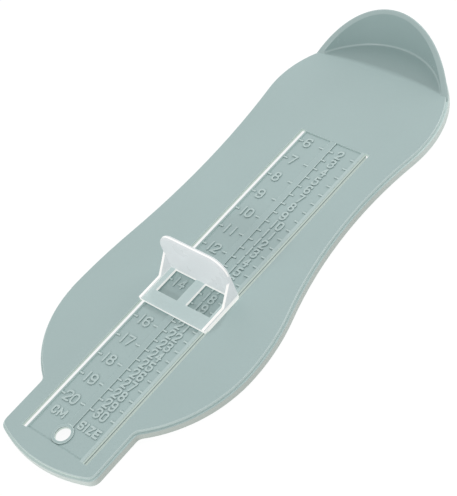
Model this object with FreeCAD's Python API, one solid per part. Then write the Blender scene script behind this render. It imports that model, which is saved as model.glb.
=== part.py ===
import FreeCAD, Part
import math
import os

# A foot gauge: a foot-shaped plate with a heel cup, two raised scales between two long slots, and a toe
# stop that slides along the slots.
#
# Gauge coordinates, in millimetres: x runs across from the middle between the slots, y runs towards the
# heel from the heel's zero line, and z runs up from the foot surface. A size that ends in _at is a place
# along the gauge, counted from the zero line towards the tab, as the centimetre scale counts it. All the
# nodes are moved once, at the end, so that the origin lies under the middle of the part.

# Centimetre scale and the size scale beside it, which counts in parts of a centimetre
centimetre = 10.0
first_centimetre = 6
last_centimetre = 20
size_zero_at = 50.0
sizes_per_centimetre = 2

# Plate and its stepped edge: the rim stands out below the plate, and the plate rests on its inner seat
plate_thickness = 1.4
rim_depth = 4.0
rim_seat = 0.6
edge_step_in = 0.9
ledge_lap = 0.2
top_edge_round = 0.4
rim_edge_round = 0.2

# Outline of the rim: heel
heel_centre_x = -7.0
heel_centre_at = 38.2
heel_radius = 40.7

# Outline of the rim: the right side, from the heel to the tab. Its widest place lies so far before the
# last centimetre mark.
right_heel_side_angle = 66.0
right_heel_side_radius = 47.0
right_waist_radius = 167.0
right_ball_radius = 85.0
right_widest_x = 43.8
right_widest_before_last = 42.0
right_toe_radius = 52.3

# Outline of the rim: the left side, from the heel to the tab
left_heel_side_angle = 62.0
left_heel_side_radius = 37.0
left_waist_radius = 315.0
left_ball_radius = 233.0
left_widest_x = 48.0
left_widest_before_last = 40.1
left_toe_radius = 46.4

# Tab at the toe end
tab_right_x = 23.8
tab_left_x = 25.9
tab_neck_radius = 3.0
tab_corner_radius = 4.0
tab_past_slots = 8.8
tab_end_radius = 62.0

# Heel cup: a wall round the plate's edge that stands on the rim's ledge, with a rounded foot inside and a
# straight sloping rim. Its inner side leans out more than its outer side, so it thins towards the top.
cup_wall = 2.6
cup_inner_lean = 0.09
cup_outer_lean = 0.045
cup_base_round = 0.9
cup_rim_round = 0.6
cup_start_at = 16.0
cup_rim_slope = 0.98

# Slots and the ribs that guide the slider under them
slot_inner_x = 15.1
slot_width = 2.2
slot_before_first = 5.2
slot_past_last = 18.3
slot_edge_round = 0.25
guide_rib_thickness = 1.2
guide_rib_depth = 2.0

# Scale panel between the slots, sunk into the plate, and the ridge that divides it
panel_left_margin = 0.7
panel_right_margin = 1.3
panel_end_margin = 0.35
panel_depth = 0.55
ridge_left_x = 1.9
ridge_right_x = 1.1

# Hanging hole with its raised ring
hole_x = -0.3
hole_radius = 3.1
hole_ring_width = 1.15
hole_ring_margin = 0.4

# Raised ticks on the panel's floor
mark_height = 0.45
tick_width = 0.6
centimetre_tick_length = 1.9
ridge_tick_length = 2.1
size_tick_length = 1.9
edge_tick_length = 2.1

# Raised figures and headings. A column's place is counted from the panel's left edge or from the ridge.
stroke_width = 0.72
centimetre_figure_width = 3.3
centimetre_figure_height = 4.7
centimetre_single_place = 4.5
centimetre_pair_place = 5.4
centimetre_figure_gap = 0.12
size_figure_width = 2.8
size_single_place = 5.3
size_pair_place = 5.7
size_figure_gap = 0.4
size_row_gap = 0.6
heading_below_last = 6.9
heading_height = 3.7
heading_letter_width = 2.6
heading_letter_gap = 0.6
centimetre_heading_place = 2.2
size_heading_place = 1.1

# Slider: window frame, rails, toe stop with gussets, and snap legs. The toe stop's measuring face stands
# at the reading. The heights of the stop and the gussets are counted from the foot surface.
slider_reading_at = 133.8
slider_clearance = 0.12
leg_side_clearance = 0.25
leg_thickness = 0.9
leg_toe_setback = 2.0
leg_heel_setback = 0.8
hook_overlap = 0.8
hook_thickness = 0.9
hook_clearance = 0.2
frame_thickness = 1.1
front_bar_length = 6.0
window_length = 11.4
left_window_margin = 2.25
right_window_margin = 1.65
bar_overlap = 0.75
rail_width = 1.1
rail_height = 0.7
stop_thickness = 2.4
stop_height = 19.6
stop_corner_radius = 7.1
stop_edge_round = 0.3
gusset_length = 6.0
gusset_height = 9.0

# How far a cutting shape reaches past what it cuts
cut_margin = 1.0

first_centimetre_at = first_centimetre * centimetre
last_centimetre_at = last_centimetre * centimetre
size_pitch = centimetre / sizes_per_centimetre
first_size = round((first_centimetre_at - size_zero_at) / size_pitch)
last_size = round((last_centimetre_at - size_zero_at) / size_pitch)

plate_bottom_z = -plate_thickness
ledge_z = plate_bottom_z + ledge_lap
rim_bottom_z = -rim_depth
rim_wall = edge_step_in + rim_seat
plate_edge_round = min(top_edge_round, plate_thickness * 0.4)
cup_outer_radius = heel_radius - rim_edge_round
cup_inner_radius = cup_outer_radius - cup_wall

slot_outer_x = slot_inner_x + slot_width
slot_start_at = first_centimetre_at - slot_before_first
slot_end_at = last_centimetre_at + slot_past_last
tab_end_at = slot_end_at + tab_past_slots

panel_left_x = slot_inner_x - panel_left_margin
panel_right_x = slot_inner_x - panel_right_margin
panel_start_at = slot_start_at + panel_end_margin
panel_end_at = slot_end_at - panel_end_margin
panel_floor_z = -panel_depth
mark_top_z = panel_floor_z + mark_height
size_figure_height = size_pitch - size_row_gap
heading_at = last_centimetre_at + heading_below_last

hole_ring_radius = hole_radius + hole_ring_width
hole_at = panel_end_at - hole_ring_margin - hole_ring_radius

slider_half_width = slot_outer_x - leg_side_clearance
slider_length = front_bar_length + window_length + stop_thickness
frame_bottom_z = slider_clearance
frame_top_z = frame_bottom_z + frame_thickness
rail_inner_x = slider_half_width - rail_width
rail_top_z = frame_top_z + rail_height
stop_heel_y = -slider_reading_at
stop_toe_y = stop_heel_y - stop_thickness
slider_end_y = stop_heel_y - slider_length

RIGHT = {
    "sign": 1,
    "heel_side_angle": right_heel_side_angle,
    "heel_side_radius": right_heel_side_radius,
    "waist_radius": right_waist_radius,
    "ball_radius": right_ball_radius,
    "widest_x": right_widest_x,
    "widest_at": last_centimetre_at - right_widest_before_last,
    "toe_radius": right_toe_radius,
    "tab_x": tab_right_x,
}
LEFT = {
    "sign": -1,
    "heel_side_angle": left_heel_side_angle,
    "heel_side_radius": left_heel_side_radius,
    "waist_radius": left_waist_radius,
    "ball_radius": left_ball_radius,
    "widest_x": left_widest_x,
    "widest_at": last_centimetre_at - left_widest_before_last,
    "toe_radius": left_toe_radius,
    "tab_x": tab_left_x,
}

# Figures and letters as centre lines of one stroke width. A point is (x, y, corner radius), with x and the
# radius in half widths and y in half heights. A path that ends where it starts is closed.
GLYPHS = {
    "0": [[(0, 1, 0), (1, 1, 1), (1, -1, 1), (-1, -1, 1), (-1, 1, 1), (0, 1, 0)]],
    "1": [[(0.3, 1, 0), (0.3, -1, 0)]],
    "2": [[(-1, 0.5, 0), (-1, 1, 1), (1, 1, 1), (1, 0.2, 0.8), (-1, -1, 0), (1, -1, 0)]],
    "3": [
        [(-0.95, 0.7, 0), (-0.95, 1, 0.9), (0.95, 1, 0.9), (0.95, 0.08, 0.8), (-0.25, 0.08, 0)],
        [(0, 0.08, 0), (1, 0.08, 0.9), (1, -1, 1), (-1, -1, 1), (-1, -0.6, 0)],
    ],
    "4": [[(0.45, -1, 0), (0.45, 1, 0), (-1, -0.35, 0), (1, -0.35, 0)]],
    "5": [[(0.9, 1, 0), (-0.75, 1, 0), (-0.85, 0.2, 0), (1, 0.2, 1), (1, -1, 1), (-1, -1, 1),
           (-1, -0.65, 0)]],
    "6": [[(0.9, 0.7, 0), (0.9, 1, 0.9), (-1, 1, 1.1), (-1, -1, 1), (1, -1, 1), (1, 0.12, 1), (-1, 0.12, 1),
           (-1, -0.4, 0)]],
    "7": [[(-1, 1, 0), (1, 1, 0), (-0.1, -1, 0)]],
    "8": [
        [(0, 1, 0), (0.85, 1, 0.85), (0.85, 0.08, 0.85), (-0.85, 0.08, 0.85), (-0.85, 1, 0.85), (0, 1, 0)],
        [(0, 0.08, 0), (1, 0.08, 1), (1, -1, 1), (-1, -1, 1), (-1, 0.08, 1), (0, 0.08, 0)],
    ],
    "9": [[(-0.9, -0.7, 0), (-0.9, -1, 0.9), (1, -1, 1.1), (1, 1, 1), (-1, 1, 1), (-1, -0.12, 1),
           (1, -0.12, 1), (1, 0.4, 0)]],
    "C": [[(1, 0.55, 0), (1, 1, 1), (-1, 1, 1), (-1, -1, 1), (1, -1, 1), (1, -0.55, 0)]],
    "M": [[(-1, -1, 0), (-1, 1, 0), (0, -0.5, 0), (1, 1, 0), (1, -1, 0)]],
    "S": [[(1, 0.65, 0), (1, 1, 1), (-1, 1, 1), (-1, 0, 1), (1, 0, 1), (1, -1, 1), (-1, -1, 1),
           (-1, -0.65, 0)]],
    "I": [[(0, 1, 0), (0, -1, 0)]],
    "Z": [[(-1, 1, 0), (1, 1, 0), (-1, -1, 0), (1, -1, 0)]],
    "E": [[(1, 1, 0), (-1, 1, 0), (-1, -1, 0), (1, -1, 0)], [(-1, 0, 0), (0.7, 0, 0)]],
}
LETTER_WIDTH_FACTORS = {"M": 1.4, "I": 0.3}


def vector(x, y, z=0.0):
    return FreeCAD.Vector(x, y, z)


def box(x_low, x_high, y_low, y_high, z_low, z_high):
    return Part.makeBox(x_high - x_low, y_high - y_low, z_high - z_low, vector(x_low, y_low, z_low))


def point_towards(centre, other, distance):
    """The point at a distance from centre in the direction of other; a negative one lies the other way."""
    return centre + (other - centre).normalize() * distance


def arc(centre, start, end):
    """The shorter arc about centre from start to end."""
    radius = (start - centre).Length
    middle = point_towards(centre, (start + end) * 0.5, radius)
    return Part.Arc(start, middle, end).toShape()


def line(start, end):
    return Part.LineSegment(start, end).toShape()


def edges_at(solid, z):
    """The edges of a solid that lie in the level plane at z."""
    return [e for e in solid.Edges if abs(e.BoundBox.ZMin - z) < 1e-4 and abs(e.BoundBox.ZMax - z) < 1e-4]


# ---- Outline of the plate and rim ----

def circle_touching_two(centre_a, reach_a, centre_b, reach_b, sign):
    """The centre that lies reach_a from centre_a and reach_b from centre_b, on the outer side of both."""
    span = (centre_b - centre_a).Length
    along = (span ** 2 + reach_a ** 2 - reach_b ** 2) / (2 * span)
    across = math.sqrt(reach_a ** 2 - along ** 2)
    direction = (centre_b - centre_a).normalize()
    normal = vector(-direction.y, direction.x) * sign
    return centre_a + direction * along + normal * across


def side_edges(side, inset, heel_back, tab_end_centre):
    """One side of the outline from the heel's back to the tab's end, and the point where it stops."""
    sign = side["sign"]
    heel_centre = vector(heel_centre_x, -heel_centre_at)
    angle = math.radians(side["heel_side_angle"])
    outward = vector(sign * math.sin(angle), math.cos(angle))
    heel_side_centre = heel_centre + outward * (heel_radius - side["heel_side_radius"])
    widest_x = sign * side["widest_x"]
    ball_centre = vector(widest_x - sign * side["ball_radius"], -side["widest_at"])
    toe_centre = vector(widest_x - sign * side["toe_radius"], -side["widest_at"])
    waist_centre = circle_touching_two(
        heel_side_centre, side["heel_side_radius"] + side["waist_radius"],
        ball_centre, side["ball_radius"] + side["waist_radius"], sign)

    neck_x = sign * (side["tab_x"] + tab_neck_radius)
    neck_reach = side["toe_radius"] + tab_neck_radius
    neck_y = toe_centre.y - math.sqrt(neck_reach ** 2 - (neck_x - toe_centre.x) ** 2)
    neck_centre = vector(neck_x, neck_y)
    corner_x = sign * (side["tab_x"] - tab_corner_radius)
    corner_reach = tab_end_radius - tab_corner_radius
    corner_y = tab_end_centre.y - math.sqrt(corner_reach ** 2 - (corner_x - tab_end_centre.x) ** 2)
    corner_centre = vector(corner_x, corner_y)

    heel_end = heel_centre + outward * (heel_radius - inset)
    waist_start = point_towards(heel_side_centre, waist_centre, side["heel_side_radius"] - inset)
    waist_end = point_towards(ball_centre, waist_centre, side["ball_radius"] - inset)
    widest = vector(widest_x - sign * inset, -side["widest_at"])
    toe_end = point_towards(toe_centre, neck_centre, side["toe_radius"] - inset)
    neck_end = vector(sign * (side["tab_x"] - inset), neck_y)
    corner_start = vector(sign * (side["tab_x"] - inset), corner_y)
    corner_end = point_towards(corner_centre, tab_end_centre, inset - tab_corner_radius)
    edges = [
        arc(heel_centre, heel_back, heel_end),
        arc(heel_side_centre, heel_end, waist_start),
        arc(waist_centre, waist_start, waist_end),
        arc(ball_centre, waist_end, widest),
        arc(toe_centre, widest, toe_end),
        arc(neck_centre, toe_end, neck_end),
        line(neck_end, corner_start),
        arc(corner_centre, corner_start, corner_end),
    ]
    return edges, corner_end


def outline_prism(inset, z_low, z_high):
    """The foot outline, drawn in by inset all round, as a prism between two levels."""
    heel_back = vector(heel_centre_x, heel_radius - heel_centre_at - inset)
    tab_end_centre = vector((tab_right_x - tab_left_x) / 2, tab_end_radius - tab_end_at)
    right_edges, right_corner = side_edges(RIGHT, inset, heel_back, tab_end_centre)
    left_edges, left_corner = side_edges(LEFT, inset, heel_back, tab_end_centre)
    end_edge = arc(tab_end_centre, right_corner, left_corner)
    wire = Part.Wire(Part.__sortEdges__(right_edges + [end_edge] + left_edges))
    face = Part.Face(wire)
    face.translate(vector(0, 0, z_low))
    return face.extrude(vector(0, 0, z_high - z_low))


# ---- Base moulding ----

def make_foot_plate():
    plate = outline_prism(edge_step_in, plate_bottom_z, 0)
    plate = plate.makeFillet(plate_edge_round, edges_at(plate, 0))
    for side in (-1, 1):
        x_low, x_high = sorted((side * slot_inner_x, side * slot_outer_x))
        plate = plate.cut(box(
            x_low, x_high, -slot_end_at, -slot_start_at, plate_bottom_z - cut_margin, cut_margin))
    slot_edges = [e for e in edges_at(plate, 0) if abs(e.CenterOfMass.x) < slot_outer_x + 0.01
                  and -slot_end_at - 0.01 < e.CenterOfMass.y < 0.01 - slot_start_at]
    plate = plate.makeFillet(slot_edge_round, slot_edges)
    panel = box(-panel_left_x, panel_right_x, -panel_end_at, -panel_start_at, panel_floor_z, cut_margin)
    plate = plate.cut(panel)
    hole_foot = vector(hole_x, -hole_at, plate_bottom_z - cut_margin)
    return plate.cut(Part.makeCylinder(hole_radius, plate_thickness + 2 * cut_margin, hole_foot))


def make_edge_rim():
    rim = outline_prism(0, rim_bottom_z, ledge_z)
    rounded = edges_at(rim, ledge_z) + edges_at(rim, rim_bottom_z)
    rim = rim.makeFillet(min(rim_edge_round, edge_step_in * 0.8, rim_wall * 0.4), rounded)
    rim = rim.cut(outline_prism(edge_step_in, plate_bottom_z, ledge_z + cut_margin))
    return rim.cut(outline_prism(rim_wall, rim_bottom_z - cut_margin, plate_bottom_z))


def make_heel_cup():
    """A leaning wall turned about the heel's axis, with a rounded foot inside, cut off by the sloping rim."""
    rim_back_y = cup_outer_radius - heel_centre_at
    height = (rim_back_y + cup_start_at) * cup_rim_slope * 1.2 + 2 * cut_margin
    slant = math.hypot(1, cup_inner_lean)
    foot_x = cup_inner_radius + cup_inner_lean * cup_base_round - cup_base_round * slant
    foot_centre = vector(foot_x, 0, cup_base_round)
    foot_top = foot_centre + vector(1 / slant, 0, -cup_inner_lean / slant) * cup_base_round
    foot_start = vector(foot_x, 0, 0)
    foot_middle = point_towards(foot_centre, (foot_top + foot_start) * 0.5, cup_base_round)
    plate_radius = heel_radius - edge_step_in
    round_centre = vector(plate_radius - plate_edge_round, 0, -plate_edge_round)
    round_start = vector(plate_radius - plate_edge_round, 0, 0)
    round_end = vector(plate_radius, 0, -plate_edge_round)
    ledge_start = vector(plate_radius, 0, ledge_z)
    outer_foot = vector(cup_outer_radius, 0, ledge_z)
    outer_top = vector(cup_outer_radius + cup_outer_lean * (height - ledge_z), 0, height)
    inner_top = vector(cup_inner_radius + cup_inner_lean * height, 0, height)
    section = Part.Wire([
        line(foot_start, round_start),
        arc(round_centre, round_start, round_end),
        line(round_end, ledge_start),
        line(ledge_start, outer_foot),
        line(outer_foot, outer_top),
        line(outer_top, inner_top),
        line(inner_top, foot_top),
        Part.Arc(foot_top, foot_middle, foot_start).toShape(),
    ])
    face = Part.Face(section)
    # The turned wall's seam lies on the open side, where the rim cuts it away.
    face.rotate(vector(0, 0, 0), vector(0, 0, 1), -90)
    wall = face.revolve(vector(0, 0, 0), vector(0, 0, 1), 360)
    wall.translate(vector(heel_centre_x, -heel_centre_at, 0))
    start_y = -cup_start_at
    reach = heel_radius * 3
    low_z = ledge_z - cut_margin
    above_rim = Part.Face(Part.makePolygon([
        vector(-reach, start_y + low_z / cup_rim_slope, low_z),
        vector(-reach, start_y + reach, reach * cup_rim_slope),
        vector(-reach, start_y - reach, reach * cup_rim_slope),
        vector(-reach, start_y - reach, low_z),
        vector(-reach, start_y + low_z / cup_rim_slope, low_z),
    ])).extrude(vector(2 * reach, 0, 0))
    cup = wall.cut(above_rim)
    normal = vector(0, -cup_rim_slope, 1).normalize()
    rim_edges = [e for e in cup.Edges if abs((e.CenterOfMass - vector(0, start_y, 0)).dot(normal)) < 0.05
                 and e.Length > cup_outer_radius]
    return cup.makeFillet(min(cup_rim_round, cup_wall * 0.3), rim_edges)


def make_guide_rib(side):
    x_low, x_high = sorted((side * (slot_inner_x - guide_rib_thickness), side * slot_inner_x))
    return box(x_low, x_high, -slot_end_at, -slot_start_at, plate_bottom_z - guide_rib_depth, plate_bottom_z)


def make_hanging_ring():
    foot = vector(hole_x, -hole_at, panel_floor_z)
    ring = Part.makeCylinder(hole_ring_radius, panel_depth, foot)
    return ring.cut(Part.makeCylinder(hole_radius, panel_depth, foot))


def make_centre_ridge():
    ridge = box(-ridge_left_x, ridge_right_x, -hole_at, -panel_start_at, panel_floor_z, 0)
    ring_space = Part.makeCylinder(hole_ring_radius, panel_depth, vector(hole_x, -hole_at, panel_floor_z))
    return ridge.cut(ring_space)


# ---- Raised marks ----

def tick(x_low, x_high, place_at):
    y_low = -place_at - tick_width / 2
    return box(x_low, x_high, y_low, y_low + tick_width, panel_floor_z, mark_top_z)


def make_centimetre_ticks():
    ticks = []
    for reading in range(first_centimetre, last_centimetre + 1):
        place_at = reading * centimetre
        ticks.append(tick(-panel_left_x, -panel_left_x + centimetre_tick_length, place_at))
        ticks.append(tick(-ridge_left_x - ridge_tick_length, -ridge_left_x, place_at))
    return Part.makeCompound(ticks)


def size_at(size):
    return size_zero_at + size * size_pitch


def make_size_ticks():
    ticks = []
    for size in range(first_size, last_size + 1):
        ticks.append(tick(ridge_right_x, ridge_right_x + size_tick_length, size_at(size)))
        ticks.append(tick(panel_right_x - edge_tick_length, panel_right_x, size_at(size)))
    return Part.makeCompound(ticks)


def stroke_line(start, end):
    """A straight stretch of a raised stroke, standing on the panel's floor."""
    length = (end - start).Length
    bar = box(0, length, -stroke_width / 2, stroke_width / 2, 0, mark_height)
    bar.rotate(vector(0, 0, 0), vector(0, 0, 1), math.degrees(math.atan2(end.y - start.y, end.x - start.x)))
    bar.translate(start)
    return bar


def stroke_dot(centre):
    return Part.makeCylinder(stroke_width / 2, mark_height, centre)


def stroke_bend(centre, start, end, radius):
    """A curved stretch of a raised stroke about centre, the short way from start to end."""
    from_angle = math.atan2(start.y - centre.y, start.x - centre.x)
    turn = math.atan2(end.y - centre.y, end.x - centre.x) - from_angle
    turn = (turn + math.pi) % (2 * math.pi) - math.pi
    if turn < 0:
        from_angle += turn
        turn = -turn
    sweep = math.degrees(turn)
    bend = Part.makeCylinder(radius + stroke_width / 2, mark_height, vector(0, 0), vector(0, 0, 1), sweep)
    if radius > stroke_width / 2 + 0.01:
        inner = Part.makeCylinder(radius - stroke_width / 2, mark_height)
        bend = bend.cut(inner)
    bend.rotate(vector(0, 0, 0), vector(0, 0, 1), math.degrees(from_angle))
    bend.translate(centre)
    return bend


def path_solids(path, half_width, half_height):
    """The solids of one stroke along a path of (x, y, corner radius) points."""
    points = [vector(x * half_width, y * half_height) for x, y, _ in path]
    last = len(points) - 1
    closed = points[0].distanceToPoint(points[last]) < 1e-6
    solids = [] if closed else [stroke_dot(points[0]), stroke_dot(points[last])]
    pen = points[0]
    for i in range(1, last):
        before = points[i - 1] - points[i]
        after = points[i + 1] - points[i]
        half_angle = before.getAngle(after) / 2
        share_before = 1 if i == 1 else 0.5
        share_after = 1 if i == last - 1 else 0.5
        room = min(before.Length * share_before, after.Length * share_after)
        setback = min(path[i][2] * half_width / math.tan(half_angle), room)
        if setback < 0.05:
            solids.append(stroke_dot(points[i]))
            bend_start = points[i]
            bend_end = points[i]
        else:
            bend_start = point_towards(points[i], points[i - 1], setback)
            bend_end = point_towards(points[i], points[i + 1], setback)
            radius = setback * math.tan(half_angle)
            middle = (bend_start + bend_end) * 0.5
            centre = point_towards(points[i], middle, math.hypot(setback, radius))
            solids.append(stroke_bend(centre, bend_start, bend_end, radius))
        if pen.distanceToPoint(bend_start) > 0.01:
            solids.append(stroke_line(pen, bend_start))
        pen = bend_end
    if pen.distanceToPoint(points[last]) > 0.01:
        solids.append(stroke_line(pen, points[last]))
    return solids


def make_glyph(character, width, height):
    """One raised figure or letter, centred on the origin."""
    half_width = (width - stroke_width) / 2
    half_height = (height - stroke_width) / 2
    solids = []
    for path in GLYPHS[character]:
        solids += path_solids(path, half_width, half_height)
    glyph = solids[0]
    if len(solids) > 1:
        glyph = glyph.fuse(solids[1:])
    return glyph.removeSplitter()


def place_glyph(glyph, x, y):
    placed = glyph.copy()
    placed.translate(vector(x, y, panel_floor_z))
    return placed


def make_figures(places, width, height, gap, single_x, pair_x):
    """A column of numbers, each centred on its place: single figures at single_x, pairs about pair_x."""
    glyphs = {digit: make_glyph(digit, width, height) for digit in "0123456789"}
    figures = []
    for number, place_at in places.items():
        digits = str(number)
        column_x = single_x if len(digits) == 1 else pair_x
        for position, digit in enumerate(digits):
            x = column_x + (position - (len(digits) - 1) / 2) * (width + gap)
            figures.append(place_glyph(glyphs[digit], x, -place_at))
    return Part.makeCompound(figures)


def make_centimetre_figures():
    places = {reading: reading * centimetre for reading in range(first_centimetre, last_centimetre + 1)}
    return make_figures(
        places, centimetre_figure_width, centimetre_figure_height, centimetre_figure_gap,
        centimetre_single_place - panel_left_x, centimetre_pair_place - panel_left_x)


def make_size_figures():
    places = {size: size_at(size) for size in range(first_size, last_size + 1)}
    return make_figures(
        places, size_figure_width, size_figure_height, size_figure_gap,
        ridge_right_x + size_single_place, ridge_right_x + size_pair_place)


def make_word(text, start_x):
    letters = []
    x = start_x
    for character in text:
        width = heading_letter_width * LETTER_WIDTH_FACTORS.get(character, 1.0)
        letters.append(place_glyph(make_glyph(character, width, heading_height), x + width / 2, -heading_at))
        x += width + heading_letter_gap
    return letters


def make_scale_headings():
    centimetre_heading = make_word("CM", centimetre_heading_place - panel_left_x)
    size_heading = make_word("SIZE", ridge_right_x + size_heading_place)
    return Part.makeCompound(centimetre_heading + size_heading)


# ---- Slider moulding ----

def make_slider_frame():
    frame = box(-slider_half_width, slider_half_width, slider_end_y, stop_toe_y, frame_bottom_z, frame_top_z)
    left_window = (left_window_margin - rail_inner_x, -ridge_left_x - bar_overlap)
    right_window = (ridge_right_x + bar_overlap, rail_inner_x - right_window_margin)
    window_end_y = stop_toe_y - window_length
    for x_low, x_high in (left_window, right_window):
        frame = frame.cut(box(
            x_low, x_high, window_end_y, stop_toe_y, frame_bottom_z - cut_margin, frame_top_z + cut_margin))
    return frame


def make_slider_rail(side):
    x_low, x_high = sorted((side * rail_inner_x, side * slider_half_width))
    return box(x_low, x_high, slider_end_y, stop_toe_y, frame_top_z, rail_top_z)


def make_toe_stop():
    stop = box(-slider_half_width, slider_half_width, stop_toe_y, stop_heel_y, frame_bottom_z, stop_height)
    upper_corners = [e for e in stop.Edges if abs(e.BoundBox.ZMin - stop_height) < 1e-6
                     and e.BoundBox.YLength > stop_thickness / 2]
    corner_radius = min(stop_corner_radius, slider_half_width * 0.9, stop_height * 0.9)
    stop = stop.makeFillet(corner_radius, upper_corners)
    face_edges = [e for e in stop.Edges if e.BoundBox.YLength < 1e-6
                  and e.BoundBox.ZMax > frame_bottom_z + 1e-6]
    return stop.makeFillet(min(stop_edge_round, stop_thickness * 0.4), face_edges)


def make_stop_gusset(side):
    inner_x = side * rail_inner_x
    face = Part.Face(Part.makePolygon([
        vector(inner_x, stop_toe_y, rail_top_z),
        vector(inner_x, stop_toe_y - gusset_length, rail_top_z),
        vector(inner_x, stop_toe_y, gusset_height),
        vector(inner_x, stop_toe_y, rail_top_z),
    ]))
    return face.extrude(vector(side * rail_width, 0, 0))


def make_snap_leg(side):
    """A leg that hangs through the slot, and the hook that reaches outwards under the plate."""
    outer_x = side * slider_half_width
    inner_x = side * (slider_half_width - leg_thickness)
    hook_x = side * (slot_outer_x + hook_overlap)
    hook_top_z = plate_bottom_z - hook_clearance
    hook_bottom_z = hook_top_z - hook_thickness
    y_low = slider_end_y + leg_toe_setback
    y_high = stop_heel_y - leg_heel_setback
    leg = Part.Face(Part.makePolygon([
        vector(inner_x, y_low, frame_bottom_z),
        vector(outer_x, y_low, frame_bottom_z),
        vector(outer_x, y_low, hook_top_z),
        vector(hook_x, y_low, hook_top_z),
        vector(outer_x, y_low, hook_bottom_z),
        vector(inner_x, y_low, hook_bottom_z),
        vector(inner_x, y_low, frame_bottom_z),
    ]))
    return leg.extrude(vector(0, y_high - y_low, 0))


def build():
    base = {
        "foot_plate": make_foot_plate(),
        "edge_rim": make_edge_rim(),
        "heel_cup": make_heel_cup(),
        "left_guide_rib": make_guide_rib(-1),
        "right_guide_rib": make_guide_rib(1),
        "hanging_ring": make_hanging_ring(),
        "centre_ridge": make_centre_ridge(),
        "centimetre_ticks": make_centimetre_ticks(),
        "centimetre_figures": make_centimetre_figures(),
        "size_ticks": make_size_ticks(),
        "size_figures": make_size_figures(),
        "scale_headings": make_scale_headings(),
    }
    slider = {
        "slider_frame": make_slider_frame(),
        "left_slider_rail": make_slider_rail(-1),
        "right_slider_rail": make_slider_rail(1),
        "toe_stop": make_toe_stop(),
        "left_stop_gusset": make_stop_gusset(-1),
        "right_stop_gusset": make_stop_gusset(1),
        "left_snap_leg": make_snap_leg(-1),
        "right_snap_leg": make_snap_leg(1),
    }
    nodes = {**base, **slider}
    footprint = Part.makeCompound([base["edge_rim"], base["heel_cup"]]).optimalBoundingBox(False, False)
    to_origin = vector(-footprint.Center.x, -footprint.Center.y, rim_depth)
    for shape in nodes.values():
        shape.translate(to_origin)
    return nodes


def main():
    os.makedirs("parts", exist_ok=True)
    for name, shape in build().items():
        shape.exportStep("parts/" + name + ".step")


main()
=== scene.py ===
"""Looks of a foot gauge: its mouldings' plastics, rounded raised marks, the toe stop slider and a studio."""

import math
from typing import NamedTuple

import bmesh
import bpy
from bpy.props import FloatProperty, FloatVectorProperty, IntProperty, PointerProperty
from mathutils import Matrix, Vector


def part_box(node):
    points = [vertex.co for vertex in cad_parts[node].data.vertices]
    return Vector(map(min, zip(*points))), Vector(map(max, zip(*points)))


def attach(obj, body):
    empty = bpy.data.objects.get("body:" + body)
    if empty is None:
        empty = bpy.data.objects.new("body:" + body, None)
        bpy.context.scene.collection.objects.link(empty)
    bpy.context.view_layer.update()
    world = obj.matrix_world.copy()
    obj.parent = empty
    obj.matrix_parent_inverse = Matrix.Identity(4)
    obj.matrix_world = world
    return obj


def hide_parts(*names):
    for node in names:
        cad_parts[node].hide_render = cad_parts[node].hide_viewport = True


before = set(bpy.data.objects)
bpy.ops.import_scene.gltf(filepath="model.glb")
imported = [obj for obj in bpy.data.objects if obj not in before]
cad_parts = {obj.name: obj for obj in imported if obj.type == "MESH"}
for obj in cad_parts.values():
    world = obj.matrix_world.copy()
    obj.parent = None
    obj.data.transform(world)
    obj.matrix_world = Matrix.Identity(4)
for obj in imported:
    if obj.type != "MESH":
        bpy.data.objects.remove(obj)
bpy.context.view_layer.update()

bl_info = {
    "name": "Foot gauge looks",
    "version": (1, 0, 0),
    "blender": (4, 5, 0),
    "location": "View3D > Sidebar > Foot gauge",
    "description": "Dresses the packed foot gauge: plastics, raised marks, toe stop slider and studio",
    "category": "Object",
}

MM = 0.001

RIB_NODES = ("left_guide_rib", "right_guide_rib")
RIDGE_NODES = ("centre_ridge", "hanging_ring")
MARK_NODES = (
    "centimetre_ticks",
    "centimetre_figures",
    "size_ticks",
    "size_figures",
    "scale_headings",
)
SLIDER_NODES = (
    "slider_frame",
    "left_slider_rail",
    "right_slider_rail",
    "toe_stop",
    "left_stop_gusset",
    "right_stop_gusset",
    "left_snap_leg",
    "right_snap_leg",
)

# ---- Looks that aren't settings ----

WHITE = (1.0, 1.0, 1.0, 1.0)
BLACK = (0.0, 0.0, 0.0, 1.0)
GREENISH_WHITE = (0.88, 1.0, 0.97, 1.0)

PLASTIC_IOR = 1.49
ROUGHNESS_SPREAD = 0.05

# Painted light and shade, as tones against the base's colour: below 1 darker, a painted shade,
# above 1 paler, a painted highlight or lit face.
# Painted light on the plate: a painted highlight on its rounded edges, and upright faces painted paler as if
# lit.
PLATE_PAINTED_TONES = {"edge": 1.35, "side": 1.5}
# Painted shade on the ribs: their upright faces are darker, which shows as a dark band in the slots.
RIB_PAINTED_TONES = {"side": 0.6}
# Painted light on the rim: its level ledge painted paler as if lit, and a painted highlight on its rounded
# edges.
RIM_PAINTED_TONES = {"top": 1.13, "edge": 1.1}
# Painted highlight on the heel cup's rounded rim and foot.
CUP_PAINTED_TONES = {"edge": 1.07}
# Painted light and shade on the raised marks: paler tops, a painted highlight on rounded edges, painted
# shade on sides.
MARK_PAINTED_TONES = {"top": 1.2, "edge": 1.8, "side": 0.84}
# Painted highlight on the ridge's and ring's rounded edges, painted shade on their sides.
RIDGE_PAINTED_TONES = {"edge": 1.8, "side": 0.8}
# Painted light on the level strip between the size scale and the right slot, made paler as if it caught more
# light.
STRIP_PAINTED_TONE = 1.16

# Where a look fades, by the upward part of the surface's direction: 0 is upright and 1 is level.
EDGE_FADES_IN = (0.2, 0.4)
EDGE_FADES_OUT = (0.9, 0.985)
UPRIGHT_FADES_OUT = (0.15, 0.35)

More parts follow.
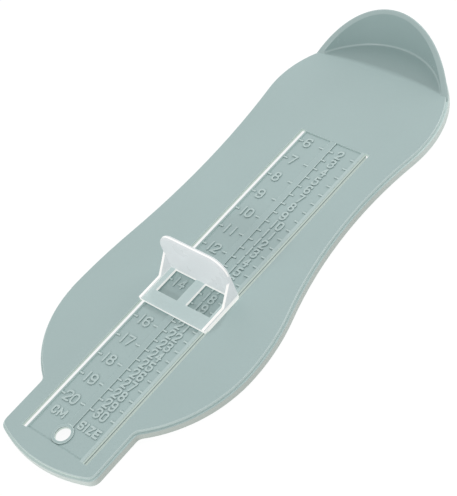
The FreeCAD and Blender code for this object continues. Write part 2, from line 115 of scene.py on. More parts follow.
BASE_CLOUD_SIZE = 38 * MM
BASE_SPECKLE_SIZE = 1.3 * MM
BASE_COLOUR_SPREAD = 0.035
CLOUDS_IN_COLOUR = 0.7  # the clouds' share, and the speckle has the rest
CLOUDS_IN_ROUGHNESS = 0.5
NOISE_MIDDLE = (0.25, 0.75)

STRIP_SOFTNESS = 0.1 * MM
WALL_TOP_SOFTNESS = 0.04 * MM
WALL_SIDE_SOFTNESS = 0.5 * MM
SLOT_REACH = 3 * MM  # from the side of a rib that lies in the slot, past the slot's far wall
# Depth of the ribs' painted shade below their tops; below it their walls get a painted glow.
RIB_PAINTED_SHADE_DEPTH = 0.45 * MM  # from a rib's top to where it begins to glow

# Painted light at the rim's toe and heel ends, which makes them paler: their share of greenish white,
# their lengths, and how far they take to fade in.
PAINTED_LIGHT_SHARE = 0.35
PALE_TOE_LENGTH = 8 * MM
PALE_TOE_FADE = 4 * MM
PALE_HEEL_LENGTH = 75 * MM
PALE_HEEL_FADE = 30 * MM

SLIDER_CLOUD_SIZE = 9 * MM
SLIDER_COLOUR_SPREAD = 0.02
SLIDER_CLOUD_MIDDLE = (0.3, 0.7)
SLIDER_GRAIN_SIZE = 0.7 * MM
SLIDER_GRAIN_DEPTH = 0.003 * MM

# ---- Limits and steps of the meshes ----

SAME_PLACE = 0.001 * MM
JOINED_PLACE = 0.002 * MM
BESIDE = 0.01 * MM  # how far past a plane a point still counts as on it
FLAT_ANGLE = math.radians(0.5)
SMOOTH_ANGLE = math.radians(40)
MARK_EDGE_ANGLE = math.radians(30)
SLIDER_EDGE_ANGLE = math.radians(25)

SEAM = 0.05 * MM  # how far a part of the slider is let into the one beside it, before they are joined
WINDOW_CUT_BELOW = 1 * MM  # how far a window's cut reaches past the frame
WINDOW_CUT_ABOVE = 3 * MM
# The toe stop's lowest band takes the narrow edges' painted highlight.
STOP_FOOT = 0.1 * MM  # height of the lowest band of the toe stop, which looks like an edge
BEFORE_STOP = 0.1 * MM  # how far before the toe stop a face still counts as part of it
STOP_CORNER_STEPS = 14
STOP_RIM_STEPS = 5
SLIDER_EDGE_SEGMENTS = 3

# The least part of a face's direction along an axis, where it faces that way, and where it leans that way.
FACES_ALONG = 0.95
LEANS_ALONG = 0.15

# ---- Studio ----

FLOOR_PAINT = (0.46, 0.46, 0.46, 1.0)
FLOOR_GLOW = 0.4
SEEN_FLOOR_PAINT = (0.14, 0.14, 0.14, 1.0)
SEEN_FLOOR_GLOW = 0.9
SEEN_SKY = 1.0

# Each lamp's azimuth and elevation in degrees, its distance and size in metres, and its power in watts.
LAMPS = {
    "heel_lamp": (99, 46, 1.6, 0.12, 6.0),
    "left_lamp": (150, 50, 1.6, 0.8, 0.8),
    "right_lamp": (62, 30, 1.6, 0.8, 2.6),
    "toe_lamp": (-93, 30, 1.8, 0.25, 6.0),
}
LAMPS_TARGET = Vector((0.0, 0.0, 0.0))

CAMERA_PLACE = Vector((0.34224, -0.220299, 0.41034))
CAMERA_TARGET = Vector((-0.00062, -0.005799, 0.004))
CAMERA_ROLL = math.radians(-23.064)
CAMERA_SENSOR_MM = 36.0
CAMERA_CLIP_START = 0.01


# ---- Settings ----


class BasePlasticSettings(bpy.types.PropertyGroup):
    colour: FloatVectorProperty(
        name="Colour", description="Colour of the base moulding", subtype="COLOR",
        default=(0.385, 0.497, 0.490), min=0.0, max=1.0)
    # Painted light: the rim's upright walls are given a paler colour, as if lit from below.
    painted_lit_wall_colour: FloatVectorProperty(
        name="Wall colour", description="Paler colour of the rim's thin upright walls", subtype="COLOR",
        default=(0.54, 0.60, 0.56), min=0.0, max=1.0)
    # Painted light: the slots' walls get a paler colour and an emission glow, standing in for the light on
    # them.
    painted_lit_slot_colour: FloatVectorProperty(
        name="Slot wall colour", description="Paler colour of the slots' upright walls", subtype="COLOR",
        default=(0.47, 0.54, 0.50), min=0.0, max=1.0)
    slot_painted_glow: FloatProperty(
        name="Slot wall glow", description="Light that the slots' walls gather through the thin plastic",
        default=0.45, min=0.0)
    cup_roughness: FloatProperty(
        name="Cup roughness", description="How matt the smoother heel cup is",
        default=0.25, min=0.05, max=1.0)
    roughness: FloatProperty(
        name="Roughness", description="How matt the moulded surface is", default=0.42, min=0.05, max=1.0)
    grain_size: FloatProperty(
        name="Grain size", description="Width of the grain that the mould leaves", default=0.45 * MM,
        unit="LENGTH", precision=5, min=0.05 * MM)
    grain_depth: FloatProperty(
        name="Grain depth", description="Depth of the grain that the mould leaves", default=0.006 * MM,
        unit="LENGTH", precision=6, min=0.0)


class MarkSettings(bpy.types.PropertyGroup):
    edge_radius: FloatProperty(
        name="Edge radius", description="Rounding of the raised marks' upper edges", default=0.13 * MM,
        unit="LENGTH", precision=5, min=0.01 * MM)
    segments: IntProperty(
        name="Segments", description="Faces across a rounded edge", default=3, min=1, max=8)


class SliderSettings(bpy.types.PropertyGroup):
    colour: FloatVectorProperty(
        name="Colour", description="Colour of the slider's upright milky walls", subtype="COLOR",
        default=(0.56, 0.583, 0.59), min=0.0, max=1.0)
    # Painted see-through: the plate's green, seen through the thin frame, is put into the frame's own
    # colour.
    frame_see_through_colour: FloatVectorProperty(
        name="Frame colour", subtype="COLOR", default=(0.44, 0.515, 0.512), min=0.0, max=1.0,
        description="Greener colour of the slider's frame, where the plate shows through")
    # Painted highlight: the slider's narrow edges get a whiter colour, standing in for the bright light
    # along them.
    edge_highlight_colour: FloatVectorProperty(
        name="Edge colour", subtype="COLOR", default=(0.69, 0.68, 0.665), min=0.0, max=1.0,
        description="Whiter colour of the slider's narrow edges, where its plastic is deep")
    see_through: FloatProperty(
        name="See-through share", description="Share of the light that passes into the milky plastic",
        default=0.4, min=0.0, max=1.0)
    edge_see_through: FloatProperty(
        name="Edge see-through share", description="Share of the light that passes into the narrow edges",
        default=0.15, min=0.0, max=1.0)
    # Painted light: an even emission in the milky plastic's colour, standing in for the light it gathers.
    glow: FloatProperty(
        name="Glow", description="Light that the milky plastic gathers from all round",
        default=0.75, min=0.0)
    # Painted light: an emission that makes the narrow edges bright.
    edge_painted_glow: FloatProperty(
        name="Edge glow", description="Light that the narrow edges gather from the plastic's depth",
        default=0.74, min=0.0)
    roughness: FloatProperty(
        name="Roughness", description="How matt the slider is", default=0.3, min=0.05, max=1.0)
    rim_radius: FloatProperty(
        name="Rim radius", description="Rounding of the toe stop's outer rim", default=0.9 * MM,
        unit="LENGTH", precision=5, min=0.01 * MM)
    edge_radius: FloatProperty(
        name="Edge radius", description="Rounding of the slider's edges", default=0.3 * MM,
        unit="LENGTH", precision=5, min=0.01 * MM)


class StudioSettings(bpy.types.PropertyGroup):
    floor_size: FloatProperty(
        name="Floor size", description="Width and length of the floor", default=8.0, unit="LENGTH", min=0.5)
    sky: FloatProperty(
        name="Sky light", description="Level of the even light from all round", default=0.6, min=0.0)
    lens: FloatProperty(
        name="Lens", description="Focal length of the camera, in millimetres", default=110.07, min=10.0)


# ---- Shader nodes ----


class Value:
    """A value socket that sums can be written with. Each sum adds its Math node."""

    def __init__(self, nodes, socket):
        self.nodes = nodes
        self.socket = socket

    def __add__(self, other):
        return self.nodes.maths("ADD", self, other)

    def __sub__(self, other):
        return self.nodes.maths("SUBTRACT", self, other)

    def __mul__(self, other):
        return self.nodes.maths("MULTIPLY", self, other)

    def __rmul__(self, other):
        return self.nodes.maths("MULTIPLY", other, self)

    def __abs__(self):
        return self.nodes.maths("ABSOLUTE", self)


class Nodes:
    """The node tree of one material or world, emptied and filled again node by node."""

    def __init__(self, owner):
        owner.use_nodes = True
        self.tree = owner.node_tree
        self.tree.nodes.clear()

    def add(self, kind, settings=None, inputs=None):
        """A node of a kind, with its settings made first and then its sockets' values or links."""
        node = self.tree.nodes.new(kind)
        for name, value in (settings or {}).items():
            setattr(node, name, value)
        for name, value in (inputs or {}).items():
            socket = value.socket if isinstance(value, Value) else value
            if isinstance(socket, bpy.types.NodeSocket):
                self.tree.links.new(socket, node.inputs[name])
            else:
                node.inputs[name].default_value = socket
        return node

    def value(self, kind, settings=None, inputs=None, output=0):
        return Value(self, self.add(kind, settings, inputs).outputs[output])

    def maths(self, operation, *inputs):
        return self.value("ShaderNodeMath", {"operation": operation}, dict(enumerate(inputs)))

    def place(self):
        return self.add("ShaderNodeTexCoord").outputs["Object"]

    def upward(self):
        """The upward part of the surface's direction, from -1 to 1."""
        normal = self.add("ShaderNodeNewGeometry").outputs["Normal"]
        return self.value("ShaderNodeSeparateXYZ", None, {"Vector": normal}, output=2)

    def noise(self, place, size, detail=2.0, roughness=0.5):
        """Soft noise from 0 to 1, with blotches about size metres wide."""
        return self.value("ShaderNodeTexNoise", None, {
            "Vector": place, "Scale": 1.0 / size, "Detail": detail, "Roughness": roughness})

    def ramp(self, value, low, high, out_low, out_high):
        """value, from low to high, moved to out_low to out_high and held between them."""
        return self.value("ShaderNodeMapRange", {"clamp": True}, {
            "Value": value, "From Min": low, "From Max": high, "To Min": out_low, "To Max": out_high})

    def rise(self, value, low, high):
        return self.ramp(value, low, high, 0.0, 1.0)

    def fall(self, value, low, high):
        return self.ramp(value, low, high, 1.0, 0.0)

    def between(self, value, low, high, softness):
        """1 where value lies from low to high, falling to 0 over the softness beyond them."""
        half = (high - low) / 2
        return self.fall(abs(value - (low + half)), half, half + softness)

    def mix_colour(self, share, first, second):
        node = self.add("ShaderNodeMix", {"data_type": "RGBA"}, {0: share, 6: first, 7: second})
        return node.outputs[2]

    def bump(self, height, distance):
        return self.add("ShaderNodeBump", None, {"Height": height, "Distance": distance}).outputs[0]

    def mix_shader(self, share, first, second):
        return self.add("ShaderNodeMixShader", None, {0: share, 1: first, 2: second}).outputs[0]

    def show(self, surface):
        self.add("ShaderNodeOutputMaterial", None, {"Surface": surface})


def rgba(colour, factor=1.0):
    return (colour[0] * factor, colour[1] * factor, colour[2] * factor, 1.0)


def toned(colour, tone):
    """A colour made darker, by a tone from 0 to 1, or mixed with a greenish white, by one from 1 to 2."""
    if tone <= 1.0:
        return rgba(colour, tone)
    return (*(part + (white - part) * (tone - 1.0) for part, white in zip(colour, GREENISH_WHITE)), 1.0)


# ---- Plastics ----


class PaintedLitWalls(NamedTuple):
    """The upright faces from x left to x right and below a height, with a painted paler colour and glow."""

    left: float
    right: float
    below: float
    colour: tuple
    glow: float


def base_plastic(name, settings, top=1.0, edge=1.0, side=1.0, strip=None, painted_lit_walls=None, painted_lit_ends=None,
                 roughness=None):
    """Satin moulded plastic with faint clouds of colour and the mould's fine grain.

    top, edge and side are the tones of level faces, rounded edges and upright faces, painted light and
    shade:
    paler tones are painted highlights and lit faces, darker ones painted shade. Between the two corners of a
    strip, level faces are painted paler, as if lit. The glow of painted_lit_walls is painted light, an
    emission that stands in for light coming through thin plastic. painted_lit_ends are the two y, at the toe
    and the heel, past which all of it is painted paler, as if lit.
    plastic. painted_lit_ends are the two y, at the toe and the heel, past which all of it is paler."""
    material = bpy.data.materials.new(name)
    nodes = Nodes(material)
    place = nodes.place()
    apart = nodes.add("ShaderNodeSeparateXYZ", None, {"Vector": place})
    x, y, height = (Value(nodes, output) for output in apart.outputs)
    clouds = nodes.noise(place, BASE_CLOUD_SIZE, detail=3.0)
    speckle = nodes.noise(place, BASE_SPECKLE_SIZE, detail=3.0, roughness=0.6)
    grain = nodes.noise(place, settings.grain_size)

    shade = nodes.rise(CLOUDS_IN_COLOUR * clouds + (1 - CLOUDS_IN_COLOUR) * speckle, *NOISE_MIDDLE)
    # Painted light on level faces: a top tone above 1 makes them paler, as if lit more.
    level_colour = toned(settings.colour, top)
    tint = nodes.mix_colour(
        shade, rgba(level_colour, 1 - BASE_COLOUR_SPREAD), rgba(level_colour, 1 + BASE_COLOUR_SPREAD))
    # Painted light: level faces on the strip are made paler.
    if strip:
        low, high = strip
        painted_strip_light = (nodes.between(x, low.x, high.x, STRIP_SOFTNESS)
                    * nodes.between(y, low.y, high.y, STRIP_SOFTNESS))
        tint = nodes.mix_colour(painted_strip_light, tint, toned(settings.colour, STRIP_PAINTED_TONE))
    # Painted highlight and shade by facing: rounded edges get the edge tone, upright faces the side tone.
    upward = nodes.upward()
    rounded = nodes.rise(upward, *EDGE_FADES_IN) * nodes.fall(upward, *EDGE_FADES_OUT)
    tint = nodes.mix_colour(rounded, tint, toned(settings.colour, edge))
    upright = nodes.fall(abs(upward), *UPRIGHT_FADES_OUT)
    tint = nodes.mix_colour(upright, tint, toned(settings.colour, side))
    glow = {}
    # Painted light on low walls: a paler colour and an emission glow, standing in for the light that reaches
    # them.
    if painted_lit_walls:
        below = nodes.fall(height, painted_lit_walls.below - WALL_TOP_SOFTNESS, painted_lit_walls.below + WALL_TOP_SOFTNESS)
        across = nodes.between(x, painted_lit_walls.left, painted_lit_walls.right, WALL_SIDE_SOFTNESS)
        painted_wall_light = upright * below * across
        tint = nodes.mix_colour(painted_wall_light, tint, painted_lit_walls.colour)
        glow["Emission Color"] = nodes.mix_colour(painted_wall_light, BLACK, painted_lit_walls.colour)
        glow["Emission Strength"] = painted_lit_walls.glow
    # Painted light: past the two y the colour is mixed with greenish white, as if lit more.
    if painted_lit_ends:
        toe, heel = painted_lit_ends
        past = nodes.rise(y, heel, heel + PALE_HEEL_FADE) + nodes.fall(y, toe - PALE_TOE_FADE, toe)
        tint = nodes.mix_colour(PAINTED_LIGHT_SHARE * past, tint, GREENISH_WHITE)

    matt = settings.roughness if roughness is None else roughness
    unevenness = CLOUDS_IN_ROUGHNESS * clouds + (1 - CLOUDS_IN_ROUGHNESS) * speckle
    surface = nodes.add("ShaderNodeBsdfPrincipled", None, {
        "Base Color": tint,
        "Roughness": nodes.ramp(
            unevenness, *NOISE_MIDDLE, matt - ROUGHNESS_SPREAD, matt + ROUGHNESS_SPREAD),
        "IOR": PLASTIC_IOR,
        "Normal": nodes.bump(grain, settings.grain_depth),
        **glow,
    })
    nodes.show(surface.outputs[0])
    return material


def milky_plastic(name, colour, see_through, glow, settings):
    """Milky see-through plastic, which passes on the light behind it, with a painted glow in its colour."""
    material = bpy.data.materials.new(name)
    nodes = Nodes(material)
    place = nodes.place()
    clouds = nodes.noise(place, SLIDER_CLOUD_SIZE, detail=3.0)
    grain = nodes.noise(place, SLIDER_GRAIN_SIZE)
    tint = nodes.mix_colour(
        clouds, rgba(colour, 1 - SLIDER_COLOUR_SPREAD), rgba(colour, 1 + SLIDER_COLOUR_SPREAD))
    matt = settings.roughness
    surface = nodes.add("ShaderNodeBsdfPrincipled", None, {
        "Base Color": tint,
        "Roughness": nodes.ramp(
            clouds, *SLIDER_CLOUD_MIDDLE, matt - ROUGHNESS_SPREAD, matt + ROUGHNESS_SPREAD),
        "IOR": PLASTIC_IOR,
        "Normal": nodes.bump(grain, SLIDER_GRAIN_DEPTH),
        # Painted glow: an emission in the plastic's own colour.
        "Emission Color": tint,
        "Emission Strength": glow,
    })
    passed_on = nodes.add("ShaderNodeBsdfTranslucent", None, {"Color": tint})
    nodes.show(nodes.mix_shader(see_through, surface.outputs[0], passed_on.outputs[0]))
    return material


# ---- Meshes ----


def dress(obj, material):
    """Gives a piece one material all over, in every slot that its faces use."""
    if not obj.data.materials:
        obj.data.materials.append(material)
    for slot in obj.material_slots:
        slot.link = "OBJECT"
        slot.material = material


def made_piece(name, mesh, materials, body, replaced):
    """Makes a new piece from a bmesh, riding on its body in place of CAD nodes."""
    data = bpy.data.meshes.new(name)
    for material in materials:
        data.materials.append(material)
    mesh.to_mesh(data)
    mesh.free()
    if "custom_normal" in data.attributes:  # the CAD mesh's own, which no longer fit
        data.attributes.remove(data.attributes["custom_normal"])
    data.polygons.foreach_set("use_smooth", [True] * len(data.polygons))
    data.set_sharp_from_angle(angle=SMOOTH_ANGLE)
    piece = bpy.data.objects.new(name, data)
    bpy.context.scene.collection.objects.link(piece)
    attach(piece, body)
    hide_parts(*replaced)


def clean_copy(node):
    """A CAD node's mesh with its doubled vertices joined and its flat faces whole again."""
    mesh = bmesh.new()
    mesh.from_mesh(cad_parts[node].data)
    bmesh.ops.remove_doubles(mesh, verts=mesh.verts, dist=JOINED_PLACE)
    bmesh.ops.dissolve_limit(
        mesh, angle_limit=FLAT_ANGLE, verts=mesh.verts, edges=mesh.edges, delimit={"NORMAL"})
    for face in mesh.faces:
        face.material_index = 0
    return mesh


def round_edges(mesh, edges, radius, segments):
    bmesh.ops.bevel(
        mesh, geom=edges, offset=radius, offset_type="OFFSET", segments=segments, profile=0.5,
        affect="EDGES", clamp_overlap=True)


def rounded_mark(node, settings):
    """A node of raised marks with its upper edges rounded."""
    mesh = clean_copy(node)
    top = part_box(node)[1].z
    upper = [e for e in mesh.edges if e.is_manifold
             and all(abs(v.co.z - top) < SAME_PLACE for v in e.verts)
             and e.calc_face_angle() > MARK_EDGE_ANGLE]
    round_edges(mesh, upper, settings.edge_radius, settings.segments)
    return mesh


def lofted(loops):
    """A solid through loops of (x, y, z) points, closed by the first and the last of them."""
    mesh = bmesh.new()
    rings = [[mesh.verts.new(point) for point in loop] for loop in loops]
    mesh.faces.new(rings[0])
    mesh.faces.new(list(reversed(rings[-1])))
    for near, far in zip(rings, rings[1:]):
        for i in range(len(near)):
            j = (i + 1) % len(near)
            mesh.faces.new((near[j], near[i], far[i], far[j]))
    bmesh.ops.recalc_face_normals(mesh, faces=mesh.faces)
    return mesh


def block(low, high):
    """A box between two corners."""
    outline = [(low.x, low.z), (high.x, low.z), (high.x, high.z), (low.x, high.z)]
    return lofted([[(x, y, z) for x, z in outline] for y in (low.y, high.y)])


def combined(first, second, operation):
    """The exact union or difference of two solids, which are used up."""
    objects = []
    for mesh in (first, second):
        data = bpy.data.meshes.new("solid")
        mesh.to_mesh(data)
        mesh.free()
        objects.append(bpy.data.objects.new("solid", data))
        bpy.context.scene.collection.objects.link(objects[-1])
    modifier = objects[0].modifiers.new("join", "BOOLEAN")
    modifier.operation = operation
    modifier.solver = "EXACT"
    modifier.object = objects[1]
    evaluated = objects[0].evaluated_get(bpy.context.evaluated_depsgraph_get())
    result = bmesh.new()
    result.from_mesh(evaluated.to_mesh())
    evaluated.to_mesh_clear()
    for obj in objects:
        data = obj.data
        bpy.data.objects.remove(obj)
        bpy.data.meshes.remove(data)
    return result


# ---- Slider ----


def levels(node, axis):
    """The distinct coordinates of a CAD node's corners along an axis, in order."""
    found = sorted({round(v.co[axis] / MM, 2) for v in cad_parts[node].data.vertices})
    return [value * MM for value in found]


def stop_outline(low, high, radius, inset):
    """The toe stop seen from the toe end, as (x, z) points, drawn in by inset except at the bottom."""
    left = low.x + inset
    right = high.x - inset
    top = high.z - inset
    reach = radius - inset
    points = [(left, low.z), (right, low.z)]
    for centre_x, start in ((right - reach, 0), (left + reach, 90)):
        for i in range(STOP_CORNER_STEPS + 1):
            angle = math.radians(start + 90 * i / STOP_CORNER_STEPS)
            points.append((centre_x + reach * math.cos(angle), top - reach + reach * math.sin(angle)))
    return points


def rounded_stop(low, high, radius, rim_radius):
    """The toe stop as a solid, with its outer rim rounded on both faces."""
    rounding = []
    for i in range(STOP_RIM_STEPS + 1):
        angle = math.radians(90 * i / STOP_RIM_STEPS)
        rounding.append((rim_radius * (1 - math.sin(angle)), rim_radius * (1 - math.cos(angle))))
    places = [(inset, low.y + along) for inset, along in rounding]
    places += [(inset, high.y - along) for inset, along in reversed(rounding)]
    return lofted([[(x, y, z) for x, z in stop_outline(low, high, radius, inset)] for inset, y in places])


def gusset_web(low, high, end_y):
    """A triangular web that stands on a rail and leans on the toe stop, let into it as far as end_y."""
    slope_z = (high.z - low.z) / (high.y - low.y)
    corners = [
        (end_y, low.z - SEAM),
        (low.y, low.z - SEAM),
        (low.y, low.z),
        (end_y, low.z + (end_y - low.y) * slope_z),
    ]
    return lofted([[(x, y, z) for y, z in corners] for x in (low.x, high.x)])


def leg_mesh(leg):
    """A snap leg with its outward hook, let a little into the frame above it."""
    mesh = clean_copy(leg)
    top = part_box(leg)[1].z
    for vertex in mesh.verts:
        if abs(vertex.co.z - top) < SAME_PLACE:
            vertex.co.z += SEAM
    return mesh


def slider_solid(rim_radius):
    """The slider in one piece: toe stop, window frame, side rails, gussets and snap legs."""
    stop_low, stop_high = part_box("toe_stop")
    side_tops = [v.co.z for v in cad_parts["toe_stop"].data.vertices
                 if abs(v.co.x - stop_low.x) < SAME_PLACE]
    mesh = rounded_stop(stop_low, stop_high, stop_high.z - max(side_tops), rim_radius)

    frame_low, frame_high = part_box("slider_frame")
    middle_y = (stop_low.y + stop_high.y) / 2
    body = block(frame_low, Vector((frame_high.x, middle_y, frame_high.z)))
    mesh = combined(mesh, body, "UNION")
    for rail in ("left_slider_rail", "right_slider_rail"):
        low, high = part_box(rail)
        solid = block(Vector((low.x, low.y, low.z - SEAM)), Vector((high.x, middle_y, high.z)))
        mesh = combined(mesh, solid, "UNION")
    xs = levels("slider_frame", 0)
    ys = levels("slider_frame", 1)
    for left, right in ((xs[1], xs[2]), (xs[3], xs[4])):
        window = block(
            Vector((left, ys[1], frame_low.z - WINDOW_CUT_BELOW)),
            Vector((right, ys[2], frame_high.z + WINDOW_CUT_ABOVE)))
        mesh = combined(mesh, window, "DIFFERENCE")
    for gusset in ("left_stop_gusset", "right_stop_gusset"):
        mesh = combined(mesh, gusset_web(*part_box(gusset), middle_y), "UNION")
    for leg in ("left_snap_leg", "right_snap_leg"):
        mesh = combined(mesh, leg_mesh(leg), "UNION")
    bmesh.ops.remove_doubles(mesh, verts=mesh.verts, dist=JOINED_PLACE)
    bmesh.ops.dissolve_limit(mesh, angle_limit=FLAT_ANGLE, verts=mesh.verts, edges=mesh.edges)
    return mesh


def slider_mesh(settings):
    """The slider with its edges rounded.

    Its faces' materials are 0 walls, 1 narrow edges with a painted highlight, 2 level frame.
    """
    mesh = slider_solid(settings.rim_radius)
    stop_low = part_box("toe_stop")[0]
    frame_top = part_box("slider_frame")[1].z
    rail_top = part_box("right_slider_rail")[1].z
    sharp = [e for e in mesh.edges if e.is_manifold and e.calc_face_angle() > SLIDER_EDGE_ANGLE
             and (min(v.co.y for v in e.verts) < stop_low.y + BESIDE
                  or max(v.co.z for v in e.verts) < stop_low.z + BESIDE)]
    round_edges(mesh, sharp, settings.edge_radius, SLIDER_EDGE_SEGMENTS)
    bmesh.ops.recalc_face_normals(mesh, faces=mesh.faces)
    bmesh.ops.bisect_plane(
        mesh, geom=mesh.verts[:] + mesh.edges[:] + mesh.faces[:],
        plane_co=(0, 0, frame_top + STOP_FOOT), plane_no=(0, 0, 1))
    for face in mesh.faces:
        if is_level(face, frame_top):
            face.material_index = 2
        elif is_wall(face, stop_low.y, frame_top, rail_top):
            face.material_index = 0
        else:
            face.material_index = 1
    return mesh


def is_level(face, frame_top):
    """Whether a face of the slider is a level one of its frame."""
    return abs(face.normal.z) > FACES_ALONG and face.calc_center_median().z < frame_top + BESIDE


def is_wall(face, stop_y, frame_top, rail_top):
    """Whether a face of the slider is a broad upright one, of the toe stop or a gusset, and not an edge."""
    centre = face.calc_center_median()
    across, along = (abs(part) for part in face.normal.xy)
    in_stop = centre.y > stop_y - BEFORE_STOP
    if along > LEANS_ALONG and (in_stop or along < FACES_ALONG):
        return in_stop and centre.z > frame_top + STOP_FOOT
    return across > FACES_ALONG and centre.z > rail_top and centre.y < stop_y


# ---- Studio pieces ----


def area_light(name, azimuth, elevation, distance, size, power):
    """Makes a square lamp that faces the target. Azimuth 0 lies along +X and 90 along +Y, in degrees."""
    data = bpy.data.lights.new(name, "AREA")
    data.shape = "SQUARE"
    data.size = size
    data.energy = power
    lamp = bpy.data.objects.new(name, data)
    a = math.radians(azimuth)
    e = math.radians(elevation)
    direction = Vector((math.cos(a) * math.cos(e), math.sin(a) * math.cos(e), math.sin(e)))
    lamp.location = LAMPS_TARGET + direction * distance
    lamp.rotation_mode = "QUATERNION"
    lamp.rotation_quaternion = direction.to_track_quat("Z", "Y")
    bpy.context.scene.collection.objects.link(lamp)


def seen_ray(nodes):
    """1 for what the camera sees, straight, in a gloss or through glass, and 0 for light that bounces."""
    rays = nodes.add("ShaderNodeLightPath").outputs
    straight_or_gloss = nodes.maths("MAXIMUM", rays["Is Camera Ray"], rays["Is Glossy Ray"])
    return nodes.maths("MAXIMUM", straight_or_gloss, rays["Is Transmission Ray"])


def painted_glow(nodes, paint, strength):
    """A matt paint that also gives off an even white light."""
    matt = nodes.add("ShaderNodeBsdfDiffuse", None, {"Color": paint})
    glow = nodes.add("ShaderNodeEmission", None, {"Color": WHITE, "Strength": strength})
    return nodes.add("ShaderNodeAddShader", None, {0: matt.outputs[0], 1: glow.outputs[0]}).outputs[0]


def floor_material():
    """Pale matt floor, which shows white with the object's shadow on it."""
    material = bpy.data.materials.new("studio_floor")
    nodes = Nodes(material)
    lit = painted_glow(nodes, FLOOR_PAINT, FLOOR_GLOW)
    shown = painted_glow(nodes, SEEN_FLOOR_PAINT, SEEN_FLOOR_GLOW)
    nodes.show(nodes.mix_shader(seen_ray(nodes), lit, shown))
    return material


def make_floor(size):
    half = size / 2
    corners = ((-half, -half), (half, -half), (half, half), (-half, half))
    mesh = bmesh.new()
    mesh.faces.new([mesh.verts.new((x, y, 0.0)) for x, y in corners])
    data = bpy.data.meshes.new("floor")
    mesh.to_mesh(data)
    mesh.free()
    data.materials.append(floor_material())
    floor = bpy.data.objects.new("floor", data)
    bpy.context.scene.collection.objects.link(floor)


def make_sky(strength):
    world = bpy.data.worlds.new("studio_sky")
    nodes = Nodes(world)
    sky = nodes.add("ShaderNodeBackground", None, {
        "Color": WHITE, "Strength": nodes.ramp(seen_ray(nodes), 0, 1, strength, SEEN_SKY)})
    nodes.add("ShaderNodeOutputWorld", None, {"Surface": sky.outputs[0]})
    bpy.context.scene.world = world


def make_camera(lens):
    data = bpy.data.cameras.new("camera")
    data.sensor_width = CAMERA_SENSOR_MM
    data.lens = lens
    data.clip_start = CAMERA_CLIP_START
    camera = bpy.data.objects.new("camera", data)
    turn = (CAMERA_TARGET - CAMERA_PLACE).to_track_quat("-Z", "Y").to_matrix().to_4x4()
    camera.matrix_world = Matrix.Translation(CAMERA_PLACE) @ turn @ Matrix.Rotation(CAMERA_ROLL, 4, "Z")
    bpy.context.scene.collection.objects.link(camera)
    bpy.context.scene.camera = camera


# ---- Operators ----


class GAUGE_OT_dress_base(bpy.types.Operator):
    """Gives the plate and the ribs under its slots their satin plastic"""

    bl_idname = "gauge.dress_base"
    bl_label = "Dress plate"

    def execute(self, context):
        settings = context.scene.gauge_base
        left_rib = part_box("left_guide_rib")
        right_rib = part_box("right_guide_rib")
        # Painted light on the slots' walls below the ring's foot: a paler colour and a glow.
        painted_lit_slot_walls = PaintedLitWalls(
            left=left_rib[0].x - SLOT_REACH, right=right_rib[1].x + SLOT_REACH,
            below=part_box("hanging_ring")[0].z, colour=rgba(settings.painted_lit_slot_colour), glow=settings.slot_painted_glow)
        # The strip beside the right slot, painted paler as if it caught more light.
        painted_lit_margin = (Vector((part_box("size_ticks")[1].x, right_rib[0].y, 0.0)), right_rib[1])
        plate = base_plastic(
            "plate_plastic", settings, **PLATE_PAINTED_TONES, strip=painted_lit_margin, painted_lit_walls=painted_lit_slot_walls)
        dress(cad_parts["foot_plate"], plate)
        # Painted light on the ribs' walls below their band of painted shade: a paler colour and a glow.
        painted_lit_rib_walls = painted_lit_slot_walls._replace(below=left_rib[1].z - RIB_PAINTED_SHADE_DEPTH)
        rib = base_plastic("rib_plastic", settings, **RIB_PAINTED_TONES, painted_lit_walls=painted_lit_rib_walls)
        for node in RIB_NODES:
            dress(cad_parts[node], rib)
        return {"FINISHED"}


class GAUGE_OT_dress_edge(bpy.types.Operator):
    """Gives the rim and the heel cup their satin plastic, the rim's thin wall painted paler as if lit"""

    bl_idname = "gauge.dress_edge"
    bl_label = "Dress rim and cup"

    def execute(self, context):
        settings = context.scene.gauge_base
        low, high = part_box("edge_rim")
        # Painted light: all the rim's upright walls take the paler wall colour.
        painted_lit_rim_walls = PaintedLitWalls(
            left=low.x, right=high.x, below=high.z, colour=rgba(settings.painted_lit_wall_colour), glow=0.0)
        # The toe and heel ends where the rim is painted paler, as if lit.
        ends = (low.y + PALE_TOE_LENGTH, high.y - PALE_HEEL_LENGTH)
        rim = base_plastic("rim_plastic", settings, **RIM_PAINTED_TONES, painted_lit_walls=painted_lit_rim_walls, painted_lit_ends=ends)
        dress(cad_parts["edge_rim"], rim)
        cup = base_plastic("cup_plastic", settings, **CUP_PAINTED_TONES, roughness=settings.cup_roughness)
        dress(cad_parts["heel_cup"], cup)
        return {"FINISHED"}


class GAUGE_OT_make_marks(bpy.types.Operator):
    """Makes the raised ticks, figures, headings, ridge and ring with rounded edges"""

    bl_idname = "gauge.make_marks"
    bl_label = "Make raised marks"

    def execute(self, context):
        base = context.scene.gauge_base
        # These materials paint highlights on the marks' edges and shade on their sides.
        mark = base_plastic("mark_plastic", base, **MARK_PAINTED_TONES)
        ridge = base_plastic("ridge_plastic", base, **RIDGE_PAINTED_TONES)
        for raised, material in ((MARK_NODES, mark), (RIDGE_NODES, ridge)):
            for node in raised:
                mesh = rounded_mark(node, context.scene.gauge_marks)
                made_piece(node + "_rounded", mesh, [material], "base", [node])
        return {"FINISHED"}


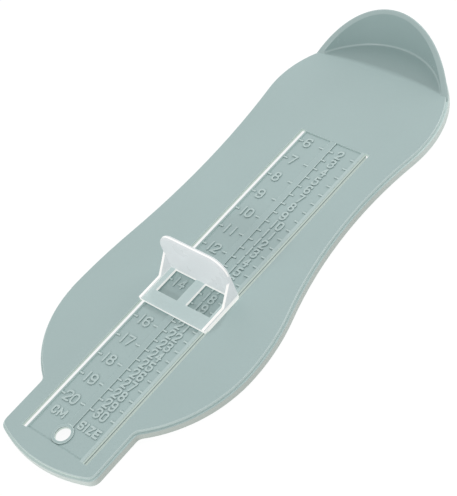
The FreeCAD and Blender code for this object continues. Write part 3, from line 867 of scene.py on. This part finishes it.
class GAUGE_OT_make_slider(bpy.types.Operator):
    """Makes the toe stop slider in one milky piece"""

    bl_idname = "gauge.make_slider"
    bl_label = "Make slider"

    def execute(self, context):
        settings = context.scene.gauge_slider
        # The milky materials carry a painted glow.
        wall = milky_plastic("milky_plastic", settings.colour, settings.see_through, settings.glow, settings)
        # The narrow edges' material, a painted highlight.
        narrow = milky_plastic(
            "edge_highlight_plastic", settings.edge_highlight_colour, settings.edge_see_through, settings.edge_painted_glow,
            settings)
        level = milky_plastic(
            "frame_plastic", settings.frame_see_through_colour, settings.see_through, settings.glow, settings)
        made_piece(
            "slider_moulding", slider_mesh(settings), [wall, narrow, level], "slider",
            SLIDER_NODES)
        return {"FINISHED"}


class GAUGE_OT_make_studio(bpy.types.Operator):
    """Makes the pale floor, the even sky, the soft lamps and the camera"""

    bl_idname = "gauge.make_studio"
    bl_label = "Make studio"

    def execute(self, context):
        settings = context.scene.gauge_studio
        make_floor(settings.floor_size)
        make_sky(settings.sky)
        for name, lamp in LAMPS.items():
            area_light(name, *lamp)
        make_camera(settings.lens)
        context.scene.view_settings.view_transform = "Standard"
        return {"FINISHED"}


class GAUGE_PT_looks(bpy.types.Panel):
    """Lists what dresses the foot gauge, with its settings"""

    bl_idname = "GAUGE_PT_looks"
    bl_label = "Foot gauge"
    bl_space_type = "VIEW_3D"
    bl_region_type = "UI"
    bl_category = "Foot gauge"

    def draw(self, context):
        for settings, operators in PANEL_ROWS:
            box = self.layout.box()
            group = getattr(context.scene, settings)
            for name in group.bl_rna.properties.keys():
                if name not in ("rna_type", "name"):
                    box.prop(group, name)
            for operator in operators:
                box.operator(operator)


PANEL_ROWS = (
    ("gauge_base", ("gauge.dress_base", "gauge.dress_edge")),
    ("gauge_marks", ("gauge.make_marks",)),
    ("gauge_slider", ("gauge.make_slider",)),
    ("gauge_studio", ("gauge.make_studio",)),
)

SETTINGS = {
    "gauge_base": BasePlasticSettings,
    "gauge_marks": MarkSettings,
    "gauge_slider": SliderSettings,
    "gauge_studio": StudioSettings,
}

CLASSES = (
    *SETTINGS.values(),
    GAUGE_OT_dress_base,
    GAUGE_OT_dress_edge,
    GAUGE_OT_make_marks,
    GAUGE_OT_make_slider,
    GAUGE_OT_make_studio,
    GAUGE_PT_looks,
)


def register():
    for cls in CLASSES:
        bpy.utils.register_class(cls)
    for name, group in SETTINGS.items():
        setattr(bpy.types.Scene, name, PointerProperty(type=group))


def unregister():
    for name in SETTINGS:
        delattr(bpy.types.Scene, name)
    for cls in reversed(CLASSES):
        bpy.utils.unregister_class(cls)


def main():
    register()
    bpy.ops.gauge.dress_base()
    bpy.ops.gauge.dress_edge()
    bpy.ops.gauge.make_marks()
    bpy.ops.gauge.make_slider()
    bpy.ops.gauge.make_studio()


if __name__ == "__main__":
    main()
